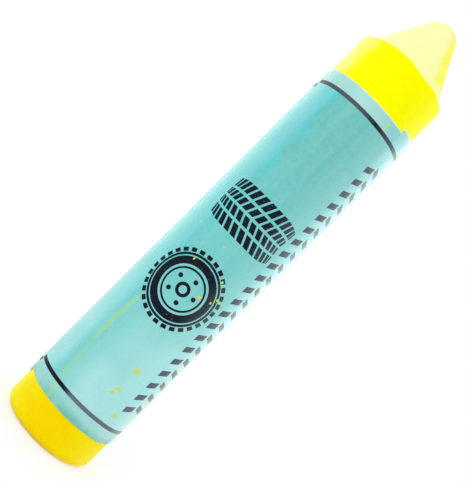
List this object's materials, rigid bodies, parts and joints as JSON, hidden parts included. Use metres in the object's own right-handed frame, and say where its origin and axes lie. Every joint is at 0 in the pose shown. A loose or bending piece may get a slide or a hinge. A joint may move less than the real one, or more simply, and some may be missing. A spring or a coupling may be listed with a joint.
{
  "type": "tyre marking crayon",
  "caption": "Stout round stick of yellow marking wax with a blunt conical point, wrapped in a blue-green paper label, for writing on tyres.",
  "frame": {"origin": "centre of the flat end that the crayon stands on", "axes": "+Z along the stick towards the point; -Y is the side that the picture shows"},
  "size_m": [0.0232, 0.023, 0.12],
  "materials": {
    "wax": "satin",
    "paper": "satin",
    "ink": "satin"
  },
  "bodies": {
    "root": {"wax_stick": "wax", "paper_label": "paper"}
  },
  "joints": []
}
